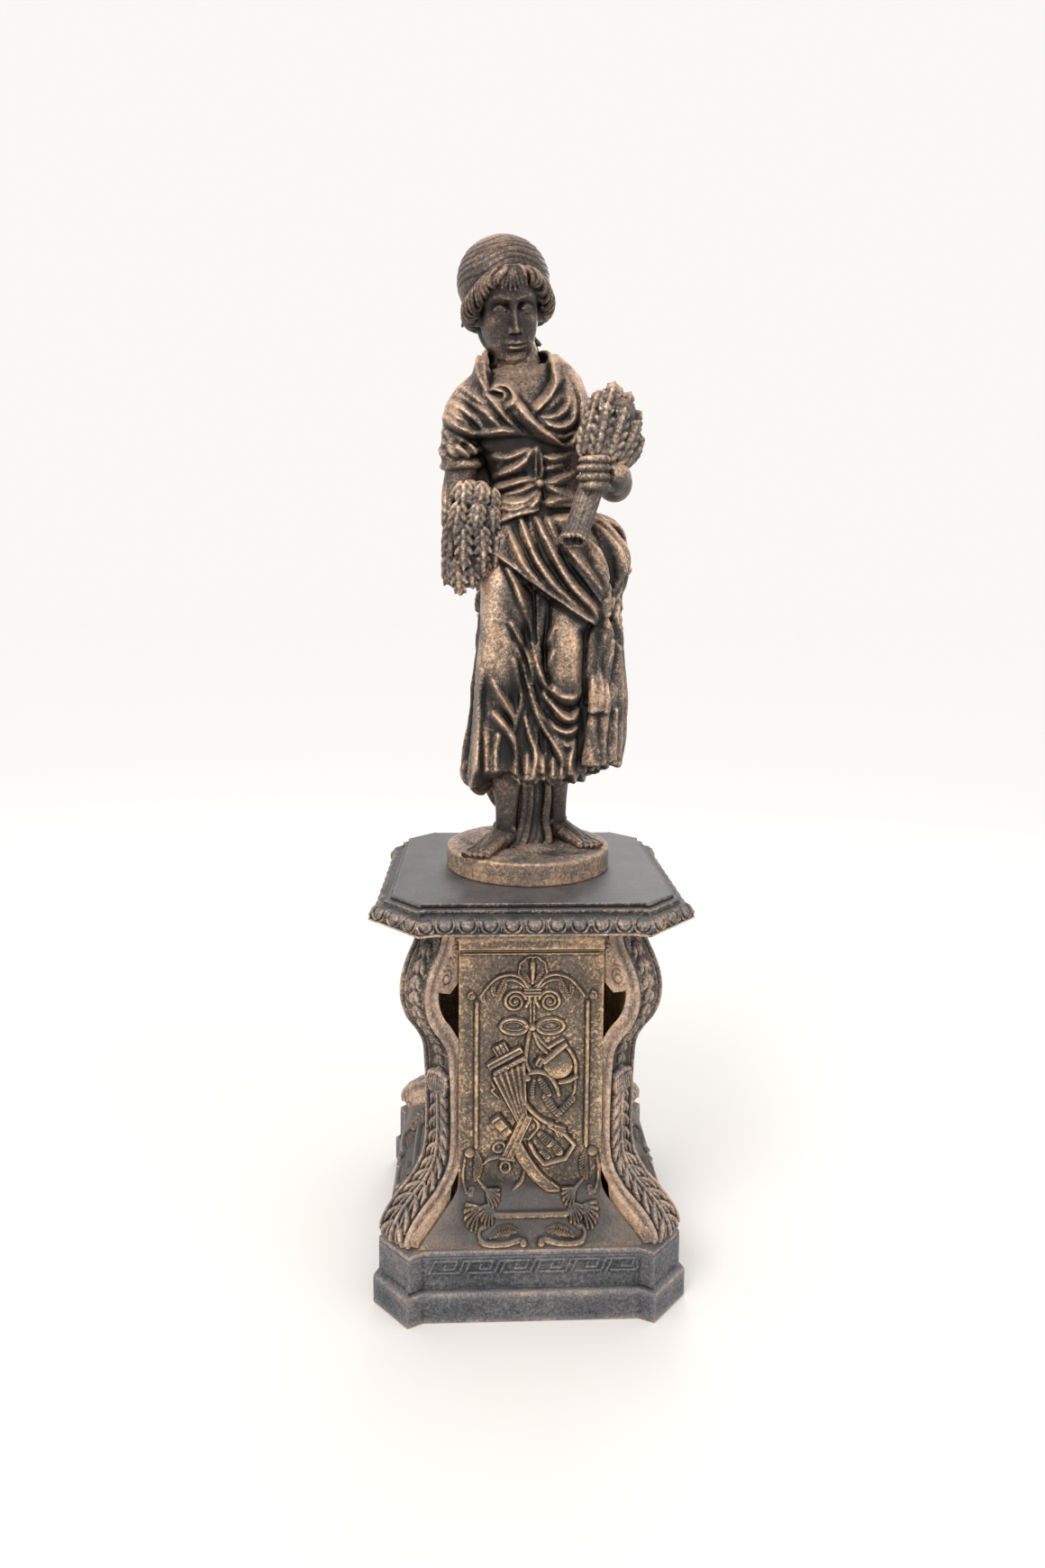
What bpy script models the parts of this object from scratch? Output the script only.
"""Cast iron garden statue: a gleaner on a built-up pedestal with scrolled corner consoles.

Metres, +Z up, the front faces -Y, the origin is at the middle of the plinth's underside.
The figure is one casting that rests on the cap. The pedestal is hollow: four panels stand
between four consoles, on an open plinth frame and under the cap.
"""

import math

import bmesh
import bpy
import numpy as np
from mathutils import Matrix, Vector

# Pedestal heights
PLINTH_STEP_Z = 0.067
PLINTH_TOP = 0.152
APRON_TOP = 0.245
PANEL_TOP = 0.8015
CAP_UNDER = 0.8494
CAP_TOP = 0.9056
GAP = 0.0003  # clearance between touching castings
ARRIS = 0.004  # worn edges of the plinth

# Pedestal plan: half distances from the axis
PANEL_FACE = 0.225
PANEL_HALF = 0.158
PANEL_THICK = 0.010
APRON_FACE = 0.308
APRON_HALF = 0.2405
PLINTH_WELL = 0.205
BAND_FACE = 0.235
BAND_CANT = 0.279
BAND_THICK = 0.012
CAP_PLATE = 0.012

# The rounded moulding that carries the cap's egg row
OVOLO_FOOT = CAP_UNDER + 0.008
OVOLO_RISE = 0.027
OVOLO_BACK = 0.026

# Console strap
CONSOLE_HALF = 0.046
CONSOLE_THICK = 0.028
CONSOLE_ROOT = 0.262  # how near the axis its top web comes

# Figure
BASE_RADIUS = 0.193
BASE_TOP = 0.958
FIGURE_TOP = 2.356
CROWN = 0.142  # from the middle of the head to the top of the scarf
CLAY = 0.0105  # grain of the remeshed figure
FIGURE_FACES = 4600  # before the round base is joined on

IRON = (0.045, 0.038, 0.033)


def clear_scene():
    for obj in list(bpy.data.objects):
        bpy.data.objects.remove(obj, do_unlink=True)


def new_collection(name):
    made = bpy.data.collections.new(name)
    bpy.context.scene.collection.children.link(made)
    return made


def iron(name, colour, roughness):
    made = bpy.data.materials.new(name)
    made.use_nodes = True
    shader = made.node_tree.nodes["Principled BSDF"]
    shader.inputs["Base Color"].default_value = (*colour, 1.0)
    shader.inputs["Metallic"].default_value = 0.85
    shader.inputs["Roughness"].default_value = roughness
    return made


def to_object(bm, name, collection, material=None):
    bmesh.ops.recalc_face_normals(bm, faces=bm.faces[:])
    mesh = bpy.data.meshes.new(name)
    bm.to_mesh(mesh)
    bm.free()
    made = bpy.data.objects.new(name, mesh)
    if material:
        mesh.materials.append(material)
    collection.objects.link(made)
    return made


def cutter(bm, name, collection):
    made = to_object(bm, name, collection)
    made.hide_render = True
    made.display_type = "WIRE"
    return made


def boolean(obj, other, operation):
    mod = obj.modifiers.new(other.name, "BOOLEAN")
    mod.operation = operation
    mod.object = other


def applied(obj):
    """Replaces the object's mesh with what its modifiers make of it, as triangles."""
    graph = bpy.context.evaluated_depsgraph_get()
    mesh = bpy.data.meshes.new_from_object(obj.evaluated_get(graph))
    obj.modifiers.clear()
    obj.data = mesh


# ---------------------------------------------------------------- sweeping and lofting


def sweep(bm, stations, sides=12):
    """Grows a closed skin through stations, matrices that each place a unit circle."""
    verts = bmesh.ops.create_circle(bm, cap_ends=True, radius=1.0, segments=sides)["verts"]
    bmesh.ops.transform(bm, matrix=stations[0], verts=verts)
    every = list(verts)
    face = verts[0].link_faces[0]
    for i, (here, there) in enumerate(zip(stations, stations[1:])):
        grown = bmesh.ops.extrude_face_region(bm, geom=[face])["geom"]
        if i:  # only the first station keeps its face, as the end cap
            bmesh.ops.delete(bm, geom=[face], context="FACES_ONLY")
        moved = [item for item in grown if isinstance(item, bmesh.types.BMVert)]
        face = next(item for item in grown if isinstance(item, bmesh.types.BMFace))
        bmesh.ops.transform(bm, matrix=there @ here.inverted(), verts=moved)
        every += moved
    return every


def through(rows, steps):
    """Rows on a smooth curve through the given ones: places, radii or both together."""
    rows = np.array(rows, float)
    ends = np.vstack([2 * rows[0] - rows[1], rows, 2 * rows[-1] - rows[-2]])
    found = []
    for i in range(len(rows) - 1):
        a, b, c, d = ends[i : i + 4]
        for t in np.arange(steps) / steps:
            bend = (2 * a - 5 * b + 4 * c - d) * t**2
            found.append(0.5 * (2 * b + (c - a) * t + bend + (3 * b - a - 3 * c + d) * t**3))
    return np.array(found + [rows[-1]])


def limb(bm, rows, steps=3, sides=10):
    """A round, tapering limb along rows of x, y, z, radius."""
    rows = through(rows, steps)
    stations = []
    side = Vector((1.0, 0.0, 0.0))
    for i, row in enumerate(rows):
        after, before = rows[min(i + 1, len(rows) - 1)], rows[max(i - 1, 0)]
        ahead = Vector(after[:3] - before[:3]).normalized()
        side = (side - ahead * side.dot(ahead)).normalized()
        frame = Matrix((side, ahead.cross(side), ahead)).transposed().to_4x4()
        radius = max(row[3], 0.0005)
        size = Matrix.Diagonal((radius, radius, 1, 1))
        stations.append(Matrix.Translation(row[:3]) @ frame @ size)
    return sweep(bm, stations, sides)


def trunk(bm, rows, steps=2, sides=28):
    """A level-sectioned body along rows of z, x, y, half width, half depth."""
    stations = [
        Matrix.Translation((x, y, z)) @ Matrix.Diagonal((across, deep, 1, 1))
        for z, x, y, across, deep in through(rows, steps)
    ]
    return sweep(bm, stations, sides)


def ball(bm, centre, radii, turn=(0, 0, 0), grain=12):
    """An ellipsoid; turn is in degrees about X, Y and Z."""
    spin = Matrix.Identity(4)
    for angle, axis in zip(turn, "XYZ"):
        spin = Matrix.Rotation(math.radians(angle), 4, axis) @ spin
    place = Matrix.Translation(centre) @ spin @ Matrix.Diagonal((*radii, 1))
    bmesh.ops.create_uvsphere(
        bm, u_segments=grain, v_segments=grain // 2 + 1, radius=1.0, matrix=place
    )


# ---------------------------------------------------------------- pedestal


def corner_outline(front, near, far, ear):
    """Plan of a square tier whose canted corner blocks stand forward of its straight sides."""
    quarter = [(near - ear, -front), (near, -far), (far, -near), (front, -(near - ear))]
    points = []
    for turn in range(4):
        c, s = (1, 0, -1, 0)[turn], (0, 1, 0, -1)[turn]
        points += [(x * c - y * s, x * s + y * c) for x, y in quarter]
    return points


def stack(bm, levels):
    """A closed solid through levels of (z, outline), outlines with the same number of points."""
    rings = [[bm.verts.new((x, y, z)) for x, y in outline] for z, outline in levels]
    count = len(rings[0])
    bm.faces.new(rings[0][::-1])
    for low, high in zip(rings, rings[1:]):
        for i in range(count):
            j = (i + 1) % count
            bm.faces.new((low[i], low[j], high[j], high[i]))
    bm.faces.new(rings[-1])


def make_plinth(parts, cutters, material):
    low = corner_outline(0.3285, 0.2625, 0.3426, 0.031)
    high = corner_outline(0.316, 0.2600, 0.330, 0.029)
    worn = corner_outline(0.313, 0.2590, 0.327, 0.029)
    bm = bmesh.new()
    levels = [
        (0.0, low),
        (PLINTH_STEP_Z - ARRIS, low),
        (PLINTH_STEP_Z + ARRIS, high),
        (PLINTH_TOP - ARRIS, high),
        (PLINTH_TOP, worn),
    ]
    stack(bm, levels)
    plinth = to_object(bm, "plinth", parts, material)
    bm = bmesh.new()
    well = Matrix.Diagonal((2 * PLINTH_WELL, 2 * PLINTH_WELL, 1.0, 1.0))
    bmesh.ops.create_cube(bm, size=1.0, matrix=well)
    boolean(plinth, cutter(bm, "plinth_well", cutters), "DIFFERENCE")


def octagon(face, cant):
    """Plan of a square with its corners cut at a distance from the axis."""
    side = cant * math.sqrt(2) - face
    return corner_outline(face, side, face, 0.0)


def make_cap(parts, cutters, material):
    lip = corner_outline(0.342, 0.238, 0.352, 0.034)
    levels = [(CAP_UNDER, lip), (CAP_UNDER + 0.006, lip)]
    for angle in (20, 40, 60, 80):  # the ovolo that carries the egg row
        back = 1 - math.cos(math.radians(angle))
        inset = OVOLO_BACK * back
        outline = corner_outline(0.340 - inset, 0.238, 0.350 - inset, 0.034 - 0.02 * back)
        levels.append((OVOLO_FOOT + OVOLO_RISE * math.sin(math.radians(angle)), outline))
    neck = corner_outline(0.311, 0.2385, 0.318, 0.012)
    plate = corner_outline(0.300, 0.239, 0.304, 0.006)
    levels += [
        (OVOLO_FOOT + OVOLO_RISE + 0.0035, neck),
        (CAP_TOP - 0.010, neck),
        (CAP_TOP - 0.008, plate),
        (CAP_TOP, plate),
    ]
    bm = bmesh.new()
    stack(bm, levels)
    cap = to_object(bm, "cap", parts, material)
    band = bmesh.new()
    outline = [p for i, p in enumerate(octagon(BAND_FACE, BAND_CANT)) if i % 4 in (1, 2)]
    stack(band, [(PANEL_TOP + GAP, outline), (CAP_UNDER + 0.010, outline)])
    boolean(cap, cutter(band, "cap_band", cutters), "UNION")
    hollow = bmesh.new()
    inner = octagon(BAND_FACE - BAND_THICK, BAND_CANT - BAND_THICK)
    inner = [p for i, p in enumerate(inner) if i % 4 in (1, 2)]
    stack(hollow, [(PANEL_TOP - 0.05, inner), (CAP_TOP - CAP_PLATE, inner)])
    boolean(cap, cutter(hollow, "cap_hollow", cutters), "DIFFERENCE")


def strip(bm, start, end, half, proud, sink=0.004):
    """A flat raised strip on a panel's face between two points given across and up."""
    a, b = Vector((start[0], start[1])), Vector((end[0], end[1]))
    middle, along = (a + b) / 2, b - a
    tilt = Matrix.Rotation(-math.atan2(along.y, along.x), 4, "Y")
    place = Matrix.Translation((middle.x, -PANEL_FACE + (sink - proud) / 2, middle.y)) @ tilt
    size = Matrix.Diagonal((along.length, proud + sink, 2 * half, 1.0))
    bmesh.ops.create_cube(bm, size=1.0, matrix=place @ size)


def make_panels(parts, cutters, material):
    """Four plates, each with a flared apron, a fillet along its top and the main raised forms."""
    bm = bmesh.new()
    profile = [  # height, distance of the face from the axis, half width
        (PLINTH_TOP + GAP, APRON_FACE, APRON_HALF),
        (PLINTH_TOP + 0.008, APRON_FACE - 0.003, APRON_HALF - 0.0045),
        (APRON_TOP - 0.022, PANEL_FACE + 0.016, PANEL_HALF + 0.011),
        (APRON_TOP, PANEL_FACE, PANEL_HALF),
        (PANEL_TOP - 0.024, PANEL_FACE, PANEL_HALF),
        (PANEL_TOP - 0.020, PANEL_FACE + 0.007, PANEL_HALF),
        (PANEL_TOP - 0.004, PANEL_FACE + 0.007, PANEL_HALF),
        (PANEL_TOP, PANEL_FACE + 0.003, PANEL_HALF),
    ]
    outer = [(bm.verts.new((-w, -d, z)), bm.verts.new((w, -d, z))) for z, d, w in profile]
    inner = []
    for z, d, w in profile:
        back = PANEL_FACE - PANEL_THICK if z >= APRON_TOP else d - 1.3 * PANEL_THICK
        half = w - (d - back)  # mitred, to clear the console
        inner.append((bm.verts.new((-half, -back, z)), bm.verts.new((half, -back, z))))
    for rows, flip in ((outer, False), (inner, True)):
        for low, high in zip(rows, rows[1:]):
            ring = (low[0], low[1], high[1], high[0])
            bm.faces.new(ring[::-1] if flip else ring)
    for side in (0, 1):
        for i in range(len(profile) - 1):
            ring = (outer[i][side], outer[i + 1][side], inner[i + 1][side], inner[i][side])
            bm.faces.new(ring if side == 0 else ring[::-1])
    bm.faces.new((outer[0][0], inner[0][0], inner[0][1], outer[0][1]))
    bm.faces.new((outer[-1][0], outer[-1][1], inner[-1][1], inner[-1][0]))
    bmesh.ops.recalc_face_normals(bm, faces=bm.faces[:])
    relief = []
    strips = [
        ((-0.123, 0.350), (-0.123, 0.690), 0.0050, 0.0050),
        ((0.120, 0.350), (0.120, 0.690), 0.0050, 0.0050),
        ((-0.070, 0.600), (0.070, 0.600), 0.0120, 0.0045),
        ((-0.050, 0.545), (-0.004, 0.440), 0.0200, 0.0070),
        ((-0.075, 0.410), (0.070, 0.262), 0.0115, 0.0060),
    ]
    for i, (start, end, half, proud) in enumerate(strips):
        shape = bmesh.new()
        strip(shape, start, end, half, proud)
        relief.append(cutter(shape, f"panel_relief_{i}", cutters))
    disc = bmesh.new()
    facing = Matrix.Rotation(math.pi / 2, 4, "X")
    place = Matrix.Translation((0.040, -PANEL_FACE - 0.001, 0.505)) @ facing
    bmesh.ops.create_cone(
        disc, cap_ends=True, segments=12, radius1=0.046, radius2=0.038, depth=0.012, matrix=place
    )
    relief.append(cutter(disc, "panel_relief_horn", cutters))
    base = to_object(bm, "panel_front", parts, material)
    for shape in relief:
        boolean(base, shape, "UNION")
    applied(base)
    for i, name in enumerate(("panel_right", "panel_back", "panel_left")):
        copy = bpy.data.objects.new(name, base.data)
        copy.rotation_euler = (0, 0, math.radians(90 * (i + 1)))
        parts.objects.link(copy)


def console_line():
    """The console's outer face in the plane of its diagonal: distance from the axis, height."""
    return [
        (0.309, CAP_UNDER - GAP),
        (0.308, 0.822),
        (0.317, 0.790),
        (0.339, 0.755),
        (0.355, 0.715),
        (0.356, 0.672),
        (0.340, 0.628),
        (0.311, 0.588),
        (0.292, 0.550),
        (0.286, 0.490),
        (0.283, 0.410),
        (0.285, 0.330),
        (0.297, 0.285),
        (0.333, 0.247),
        (0.375, 0.220),
        (0.408, 0.197),
        (0.420, 0.176),
    ]


def strap_stations(line, half):
    """Stations of the console's strap: its outer face follows a line of (distance out, height)."""
    square = Matrix.Rotation(math.pi / 4, 4, "Z")
    across = Vector((0.0, 1.0, 0.0))
    stations = []
    for i, (out, up) in enumerate(line):
        step = line[min(i + 1, len(line) - 1)] - line[max(i - 1, 0)]
        ahead = Vector((step[0], 0.0, step[1])).normalized() if i else Vector((0.0, 0.0, -1.0))
        outward = Vector((-ahead.z, 0.0, ahead.x))
        thick = CONSOLE_THICK * (1 + max(0.0, i / (len(line) - 1) - 0.75))  # stouter at the toe
        frame = Matrix((across, outward, ahead)).transposed().to_4x4()
        size = Matrix.Diagonal((half * math.sqrt(2), thick / 2 * math.sqrt(2), 1.0, 1.0))
        middle = Vector((out, 0.0, up)) - outward * thick / 2
        stations.append(Matrix.Translation(middle) @ frame @ size @ square)
    return stations


def prism(bm, outline, half):
    """A slab on both sides of the XZ plane with the given outline of (x, z)."""
    face = bm.faces.new([bm.verts.new((x, -half, z)) for x, z in outline])
    grown = bmesh.ops.extrude_face_region(bm, geom=[face])["geom"]
    moved = [item for item in grown if isinstance(item, bmesh.types.BMVert)]
    bmesh.ops.translate(bm, verts=moved, vec=(0.0, 2 * half, 0.0))


def make_consoles(parts, cutters, material):
    bm = bmesh.new()
    sweep(bm, strap_stations(through(console_line(), 2), CONSOLE_HALF), 4)
    console = to_object(bm, "console_front_right", parts, material)
    sole = PLINTH_TOP + GAP
    foot = bmesh.new()
    outline = [
        (0.300, sole),
        (0.386, sole),
        (0.404, sole + 0.014),
        (0.398, 0.190),
        (0.330, 0.232),
        (0.285, 0.275),
    ]
    prism(foot, outline, CONSOLE_HALF - 0.002)
    boolean(console, cutter(foot, "console_sole", cutters), "UNION")
    web = bmesh.new()
    outline = [
        (CONSOLE_ROOT, PANEL_TOP - 0.002),
        (0.300, PANEL_TOP - 0.002),
        (0.324, 0.762),
        (0.338, 0.722),
        (0.322, 0.696),
        (0.292, 0.684),
        (CONSOLE_ROOT, 0.706),
    ]
    prism(web, outline, CONSOLE_HALF - 0.004)
    boolean(console, cutter(web, "console_web", cutters), "UNION")
    leaf = bmesh.new()
    rows = [
        (0.294, 0, 0.285, 0.010),
        (0.286, 0, 0.350, 0.024),
        (0.284, 0, 0.420, 0.026),
        (0.294, 0, 0.465, 0.016),
    ]
    limb(leaf, rows, 2, 8)
    bmesh.ops.scale(leaf, vec=(1.0, 1.3, 1.0), verts=leaf.verts[:])
    boolean(console, cutter(leaf, "console_leaf", cutters), "UNION")
    husks = bmesh.new()
    line = through(console_line(), 1)
    for i in range(2, 10):
        out, up = (line[i] + line[i + 1]) / 2
        step = line[i + 1] - line[i]
        slope = math.degrees(math.atan2(step[0], -step[1]))
        ball(husks, (out, 0, up), (0.010, 0.013, 0.021), (0, -slope, 0), 6)
    boolean(console, cutter(husks, "console_husks", cutters), "UNION")
    applied(console)
    for name, angle in (
        ("console_front_right", -45),
        ("console_back_right", 45),
        ("console_back_left", 135),
        ("console_front_left", -135),
    ):
        if name != console.name:
            other = bpy.data.objects.new(name, console.data)
            parts.objects.link(other)
        else:
            other = console
        other.rotation_euler = (0, 0, math.radians(angle))


# ---------------------------------------------------------------- figure


def body(bm):
    """Bodice, skirt and the legs that show through it."""
    trunk(
        bm,
        [  # z, x, y, half width, half depth
            (1.665, 0.010, 0.004, 0.100, 0.080),
            (1.700, 0.010, 0.002, 0.128, 0.104),
            (1.745, 0.010, 0.000, 0.118, 0.096),
            (1.795, 0.011, 0.002, 0.102, 0.083),
            (1.850, 0.003, 0.000, 0.114, 0.090),
            (1.905, -0.008, -0.004, 0.132, 0.102),
            (1.955, -0.016, 0.004, 0.142, 0.094),
            (1.998, -0.022, 0.012, 0.140, 0.078),
            (2.030, -0.025, 0.018, 0.105, 0.066),
            (2.062, -0.028, 0.022, 0.062, 0.052),
        ],
    )
    trunk(
        bm,
        [
            (1.118, -0.004, 0.010, 0.138, 0.122),
            (1.170, -0.001, 0.010, 0.139, 0.124),
            (1.260, 0.004, 0.010, 0.134, 0.118),
            (1.360, 0.012, 0.008, 0.132, 0.112),
            (1.460, 0.020, 0.006, 0.134, 0.112),
            (1.560, 0.026, 0.004, 0.138, 0.112),
            (1.640, 0.024, 0.002, 0.134, 0.108),
            (1.720, 0.014, 0.000, 0.114, 0.094),
            (1.790, 0.011, 0.002, 0.098, 0.080),
        ],
    )
    rows = [
        (-0.040, -0.030, 1.620, 0.070),
        (-0.062, -0.062, 1.500, 0.068),
        (-0.075, -0.085, 1.405, 0.056),
        (-0.072, -0.080, 1.330, 0.044),
        (-0.062, -0.065, 1.200, 0.040),
    ]
    limb(bm, rows)
    rows = [
        (0.075, -0.030, 1.600, 0.072),
        (0.083, -0.058, 1.500, 0.070),
        (0.082, -0.080, 1.420, 0.061),
        (0.082, -0.078, 1.365, 0.050),
        (0.075, -0.050, 1.250, 0.040),
    ]
    limb(bm, rows)


def overskirt(bm):
    """The skirt tucked up: a second layer with a slanting hem, bunched at the figure's left hip."""
    layer = bmesh.new()
    trunk(
        layer,
        [
            (1.440, 0.030, -0.004, 0.148, 0.126),
            (1.520, 0.030, -0.006, 0.150, 0.128),
            (1.600, 0.028, -0.006, 0.150, 0.126),
            (1.660, 0.022, -0.002, 0.138, 0.116),
            (1.720, 0.014, 0.000, 0.120, 0.100),
            (1.770, 0.011, 0.001, 0.104, 0.086),
        ],
    )
    cut = bmesh.ops.bisect_plane(
        layer,
        geom=layer.verts[:] + layer.edges[:] + layer.faces[:],
        plane_co=(0.0, 0.0, 1.560),
        plane_no=(-0.45, 0.0, -1.0),
        clear_outer=True,
    )
    rim = [e for e in cut["geom_cut"] if isinstance(e, bmesh.types.BMEdge)]
    bmesh.ops.edgeloop_fill(layer, edges=rim)
    absorb(bm, layer)
    for rows in (
        [
            (0.110, -0.030, 1.735, 0.020),
            (0.165, -0.045, 1.690, 0.032),
            (0.200, -0.030, 1.630, 0.036),
            (0.190, -0.030, 1.560, 0.026),
        ],
        [
            (0.120, 0.010, 1.730, 0.024),
            (0.180, 0.010, 1.680, 0.038),
            (0.204, 0.015, 1.615, 0.032),
            (0.190, 0.010, 1.540, 0.028),
        ],
        [
            (0.130, -0.075, 1.560, 0.030),
            (0.165, -0.075, 1.440, 0.034),
            (0.175, -0.078, 1.320, 0.034),
            (0.178, -0.082, 1.225, 0.036),
        ],
        [
            (0.180, -0.030, 1.560, 0.030),
            (0.192, -0.030, 1.420, 0.038),
            (0.196, -0.032, 1.300, 0.038),
            (0.192, -0.036, 1.180, 0.034),
        ],
        [
            (0.175, 0.020, 1.560, 0.030),
            (0.180, 0.022, 1.400, 0.040),
            (0.182, 0.020, 1.280, 0.042),
            (0.172, 0.014, 1.160, 0.034),
        ],
        [
            (0.150, -0.085, 1.300, 0.026),
            (0.158, -0.090, 1.210, 0.028),
            (0.160, -0.088, 1.140, 0.027),
        ],
        [
            (0.185, -0.060, 1.280, 0.030),
            (0.190, -0.062, 1.200, 0.030),
            (0.186, -0.058, 1.150, 0.028),
        ],
    ):
        limb(bm, rows)


def absorb(bm, other):
    """Adds another bmesh's shape to this one and frees it."""
    mesh = bpy.data.meshes.new("passing")
    other.to_mesh(mesh)
    other.free()
    bm.from_mesh(mesh)
    bpy.data.meshes.remove(mesh)


def main_folds(bm):
    """The large ropes of cloth that cross the skirt."""
    for rows in (
        [
            (-0.085, -0.100, 1.612, 0.010),
            (-0.020, -0.135, 1.573, 0.013),
            (0.060, -0.142, 1.540, 0.014),
            (0.130, -0.115, 1.500, 0.015),
        ],
        [
            (-0.035, -0.088, 1.700, 0.009),
            (0.010, -0.128, 1.620, 0.013),
            (0.090, -0.130, 1.555, 0.014),
            (0.150, -0.095, 1.515, 0.013),
        ],
        [
            (-0.010, -0.118, 1.540, 0.010),
            (0.004, -0.128, 1.440, 0.012),
            (0.015, -0.128, 1.330, 0.013),
            (0.050, -0.122, 1.190, 0.013),
        ],
        [
            (-0.020, -0.118, 1.470, 0.009),
            (-0.002, -0.126, 1.350, 0.012),
            (0.010, -0.122, 1.240, 0.013),
            (0.022, -0.118, 1.130, 0.014),
        ],
        [
            (0.036, -0.118, 1.345, 0.008),
            (0.080, -0.138, 1.318, 0.012),
            (0.118, -0.118, 1.350, 0.010),
        ],
        [
            (0.045, -0.118, 1.300, 0.008),
            (0.090, -0.134, 1.268, 0.012),
            (0.124, -0.106, 1.310, 0.009),
        ],
        [
            (-0.120, -0.040, 1.560, 0.012),
            (-0.122, -0.050, 1.400, 0.014),
            (-0.124, -0.060, 1.250, 0.017),
            (-0.128, -0.066, 1.130, 0.022),
        ],
        [
            (-0.075, -0.105, 1.330, 0.009),
            (-0.040, -0.122, 1.270, 0.012),
            (-0.030, -0.118, 1.150, 0.014),
        ],
    ):
        limb(bm, rows, 3, 8)


def arms(bm):
    """Sleeves, bare forearms and hands."""
    for rows in (
        [
            (-0.120, 0.014, 1.985, 0.050),
            (-0.152, 0.008, 1.940, 0.056),
            (-0.160, 0.004, 1.880, 0.050),
            (-0.160, 0.000, 1.842, 0.046),
        ],
        [
            (-0.160, 0.000, 1.860, 0.036),
            (-0.166, -0.004, 1.765, 0.040),
            (-0.152, -0.036, 1.690, 0.034),
            (-0.136, -0.062, 1.620, 0.026),
        ],
        [
            (0.080, 0.014, 1.990, 0.050),
            (0.118, 0.014, 1.950, 0.054),
            (0.160, 0.022, 1.870, 0.046),
            (0.182, 0.020, 1.815, 0.042),
        ],
        [
            (0.182, 0.020, 1.810, 0.040),
            (0.190, -0.030, 1.795, 0.038),
            (0.186, -0.085, 1.798, 0.031),
            (0.180, -0.120, 1.805, 0.027),
        ],
        [
            (0.186, -0.110, 1.806, 0.026),
            (0.176, -0.138, 1.806, 0.030),
            (0.156, -0.160, 1.804, 0.026),
        ],
    ):
        limb(bm, rows)
    for i in range(4):
        up = 1.832 - 0.0195 * i
        rows = [
            (0.170, -0.155, up, 0.011),
            (0.135, -0.180, up, 0.0105),
            (0.103, -0.172, up - 0.002, 0.009),
        ]
        limb(bm, rows, 3, 8)


def wheat(bm):
    """The sheaf at the figure's left shoulder and the bundle hanging from its right arm."""
    rows = [
        (0.090, -0.160, 1.662, 0.038),
        (0.108, -0.147, 1.735, 0.030),
        (0.126, -0.133, 1.805, 0.028),
        (0.150, -0.112, 1.880, 0.036),
    ]
    limb(bm, rows)
    for i in range(9):
        angle = math.radians(40 * i)
        spread = 0.034 if i else 0.0
        out, deep = spread * math.cos(angle), 0.8 * spread * math.sin(angle)
        tip = (0.180 + out, -0.092 + deep, 1.945 + 0.012 * math.cos(2.3 * i))
        ball(bm, tip, (0.026, 0.024, 0.062), (8, 16, 0), 10)
    ball(bm, (-0.124, -0.062, 1.680), (0.052, 0.040, 0.100), (0, 4, 0))
    for row in range(4):
        for column in range(3):
            x = -0.158 + 0.036 * column + 0.006 * (row % 2)
            up = 1.745 - 0.048 * row - 0.010 * (column % 2)
            ball(bm, (x, -0.088 - 0.006 * column, up), (0.018, 0.018, 0.036), (0, 6 - 5 * column, 0), 8)


def neck_and_head(bm):
    rows = [
        (-0.026, 0.022, 2.020, 0.056),
        (-0.034, 0.014, 2.075, 0.048),
        (-0.046, 0.008, 2.140, 0.048),
    ]
    limb(bm, rows)
    head = bmesh.new()
    ball(head, (0, 0.008, 0.036), (0.094, 0.108, 0.104), grain=20)
    ball(head, (0, -0.028, -0.040), (0.070, 0.072, 0.092), grain=16)
    ball(head, (0, -0.070, -0.104), (0.026, 0.022, 0.022))
    rows = [
        (0, -0.100, 0.018, 0.009),
        (0, -0.112, -0.030, 0.013),
        (0, -0.108, -0.044, 0.012),
    ]
    limb(head, rows, 3, 8)
    for side in (-1, 1):
        rows = [
            (0.006 * side, -0.088, 0.098, 0.022),
            (0.062 * side, -0.066, 0.072, 0.024),
            (0.088 * side, -0.030, 0.010, 0.024),
            (0.080 * side, 0.000, -0.050, 0.024),
            (0.052 * side, 0.040, -0.085, 0.024),
        ]
        limb(head, rows, 3, 8)
    ball(head, (0, 0.086, -0.070), (0.050, 0.036, 0.036))
    bmesh.ops.transform(head, matrix=head_place(), verts=head.verts[:])
    absorb(bm, head)


def head_place():
    """Bowed a little, tilted to the figure's right and turned to its left."""
    turn = Matrix.Rotation(math.radians(8), 4, "Z")
    tilt = Matrix.Rotation(math.radians(-8), 4, "Y")
    bow = Matrix.Rotation(math.radians(12), 4, "X")
    return Matrix.Translation((-0.062, -0.004, FIGURE_TOP - CROWN)) @ tilt @ turn @ bow


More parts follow.
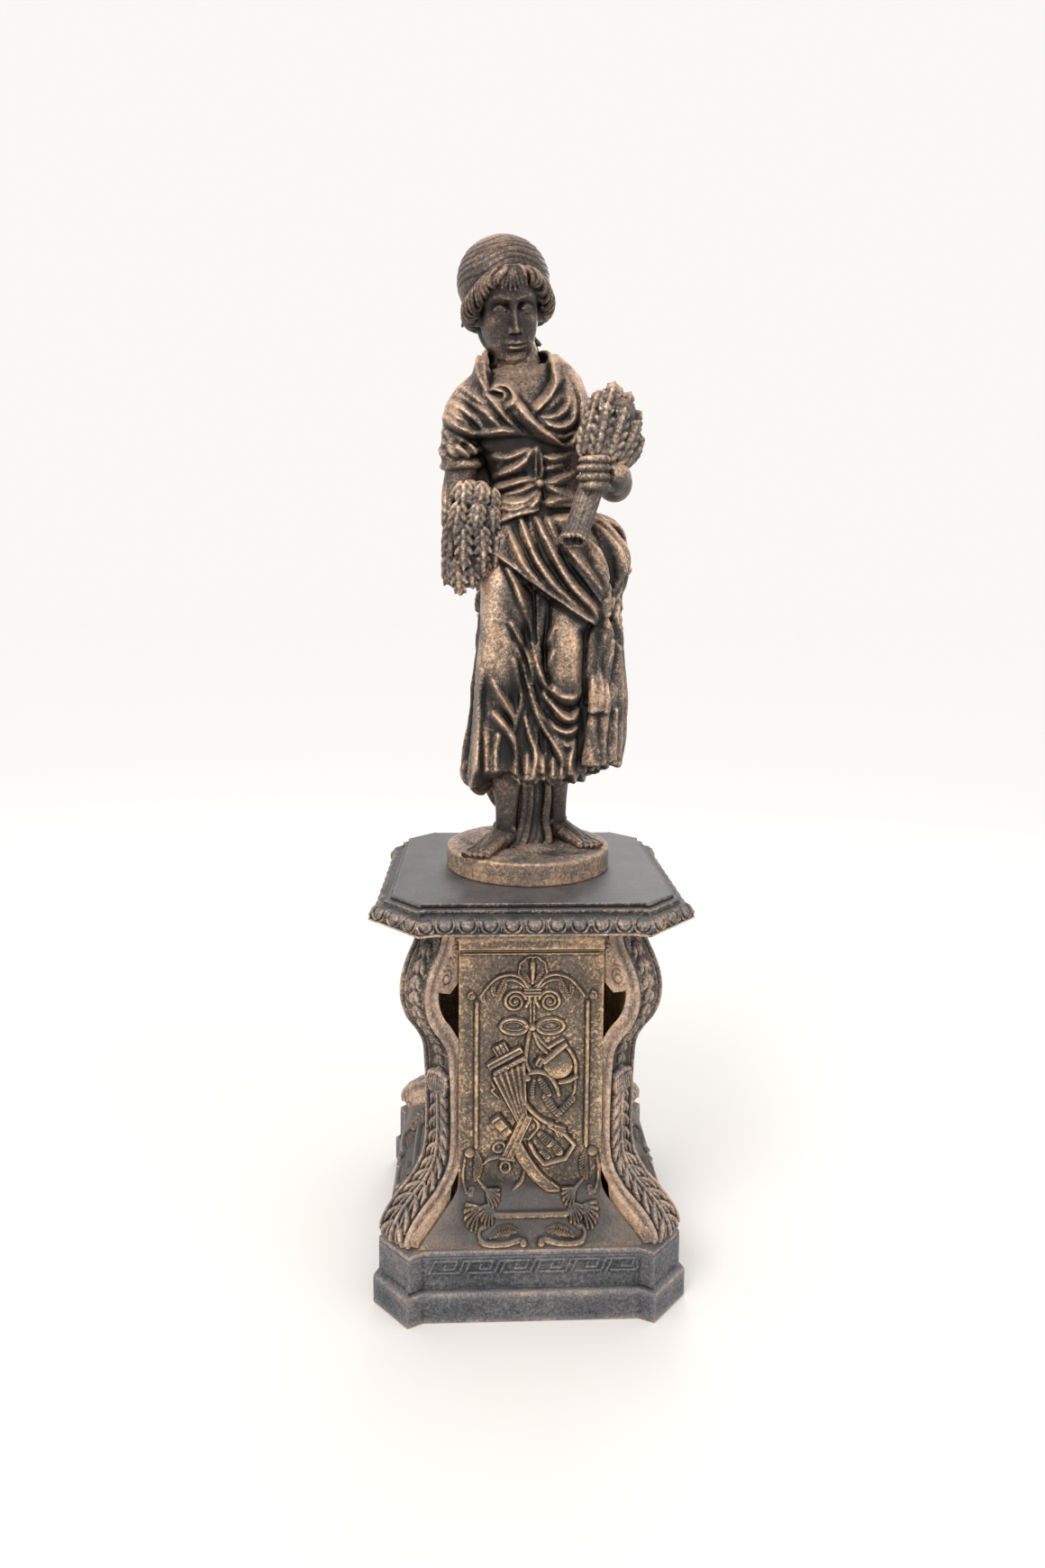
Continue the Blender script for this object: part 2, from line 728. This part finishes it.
def shawl(bm):
    """The fichu: broad over the shoulders, crossed low on the breast."""
    for rows in (
        [
            (-0.075, 0.050, 2.050, 0.022),
            (-0.085, -0.010, 2.045, 0.024),
            (-0.070, -0.062, 1.990, 0.026),
            (-0.020, -0.100, 1.930, 0.022),
            (0.040, -0.100, 1.895, 0.014),
        ],
        [
            (0.020, 0.050, 2.060, 0.022),
            (0.040, -0.005, 2.045, 0.024),
            (0.035, -0.055, 1.995, 0.024),
            (0.000, -0.095, 1.945, 0.020),
            (-0.050, -0.100, 1.920, 0.012),
        ],
        [
            (-0.160, 0.000, 1.965, 0.036),
            (-0.120, -0.055, 1.935, 0.030),
            (-0.060, -0.086, 1.910, 0.022),
            (0.000, -0.100, 1.900, 0.014),
        ],
        [
            (0.110, 0.000, 1.970, 0.036),
            (0.085, -0.060, 1.935, 0.032),
            (0.050, -0.086, 1.905, 0.024),
            (0.020, -0.098, 1.895, 0.014),
        ],
        [
            (-0.120, 0.075, 1.960, 0.024),
            (-0.020, 0.098, 1.900, 0.024),
            (0.080, 0.078, 1.955, 0.024),
        ],
    ):
        limb(bm, rows)


def legs_and_base(bm):
    """Bare feet, the hanging underskirt between them and the round base."""
    rows = [
        (-0.052, -0.055, 1.180, 0.040),
        (-0.054, -0.070, 1.090, 0.029),
        (-0.054, -0.072, 1.030, 0.025),
        (-0.056, -0.062, 0.985, 0.028),
    ]
    limb(bm, rows)
    rows = [
        (-0.050, -0.055, 0.978, 0.026),
        (-0.075, -0.100, 0.990, 0.027),
        (-0.100, -0.135, 0.976, 0.024),
        (-0.118, -0.155, 0.968, 0.014),
    ]
    limb(bm, rows)
    rows = [
        (0.060, 0.010, 1.180, 0.040),
        (0.062, 0.006, 1.080, 0.030),
        (0.064, 0.006, 1.020, 0.028),
        (0.064, 0.012, 0.985, 0.028),
    ]
    limb(bm, rows)
    rows = [
        (0.064, 0.014, 0.978, 0.026),
        (0.090, -0.020, 0.986, 0.026),
        (0.122, -0.045, 0.974, 0.020),
        (0.140, -0.056, 0.968, 0.012),
    ]
    limb(bm, rows)
    trunk(
        bm,
        [
            (0.940, 0.010, 0.040, 0.085, 0.060),
            (1.000, 0.006, 0.035, 0.066, 0.046),
            (1.060, 0.000, 0.035, 0.074, 0.050),
            (1.140, -0.006, 0.030, 0.104, 0.072),
        ],
    )
    for i in range(4):
        x = -0.010 + 0.022 * i
        rows = [
            (x + 0.006, -0.040, 1.140, 0.012),
            (x + 0.004, -0.044, 1.050, 0.012),
            (x - 0.014, -0.052, 0.985, 0.013),
            (x - 0.034, -0.062, 0.958, 0.012),
        ]
        limb(bm, rows, 3, 8)
    ball(bm, (-0.110, 0.010, 0.965), (0.050, 0.045, 0.034))
    ball(bm, (0.108, 0.010, 0.968), (0.055, 0.050, 0.032))
    ball(bm, (0.010, 0.080, 0.965), (0.110, 0.060, 0.024))


def largest_shell(bm):
    """Deletes every loose shell but the one with the most faces."""
    seen, best = set(), []
    for start in bm.faces:
        if start in seen:
            continue
        shell, front = [start], [start]
        seen.add(start)
        while front:
            for edge in front.pop().edges:
                for face in edge.link_faces:
                    if face not in seen:
                        seen.add(face)
                        shell.append(face)
                        front.append(face)
        if len(shell) > len(best):
            best = shell
    keep = set(best)
    bmesh.ops.delete(bm, geom=[f for f in bm.faces if f not in keep], context="FACES")


def make_statue(parts, cutters, material):
    bm = bmesh.new()
    for shape in (body, overskirt, main_folds, arms, wheat, neck_and_head, shawl, legs_and_base):
        shape(bm)
    figure = to_object(bm, "statue", parts, material)
    clay = figure.modifiers.new("Clay", "REMESH")
    clay.mode = "VOXEL"
    clay.voxel_size = CLAY
    applied(figure)
    bm = bmesh.new()
    bm.from_mesh(figure.data)
    largest_shell(bm)
    bmesh.ops.smooth_vert(
        bm, verts=bm.verts[:], factor=0.35, use_axis_x=True, use_axis_y=True, use_axis_z=True
    )
    bmesh.ops.triangulate(bm, faces=bm.faces[:])
    bm.to_mesh(figure.data)
    bm.free()
    thin = figure.modifiers.new("Thin", "DECIMATE")
    thin.ratio = FIGURE_FACES / len(figure.data.polygons)
    applied(figure)
    base = bmesh.new()
    bmesh.ops.create_cone(
        base,
        cap_ends=True,
        segments=48,
        radius1=BASE_RADIUS,
        radius2=BASE_RADIUS - 0.003,
        depth=BASE_TOP - CAP_TOP - GAP,
        matrix=Matrix.Translation((0, 0, (BASE_TOP + CAP_TOP + GAP) / 2)),
    )
    boolean(figure, cutter(base, "round_base", cutters), "UNION")


def main():
    clear_scene()
    parts = new_collection("Cast iron garden statue")
    cutters = new_collection("Cutters")
    black = iron("black iron", IRON, 0.55)
    rubbed = iron("rubbed iron", (0.11, 0.075, 0.05), 0.5)
    make_plinth(parts, cutters, black)
    make_panels(parts, cutters, rubbed)
    make_consoles(parts, cutters, rubbed)
    make_cap(parts, cutters, black)
    make_statue(parts, cutters, rubbed)


main()
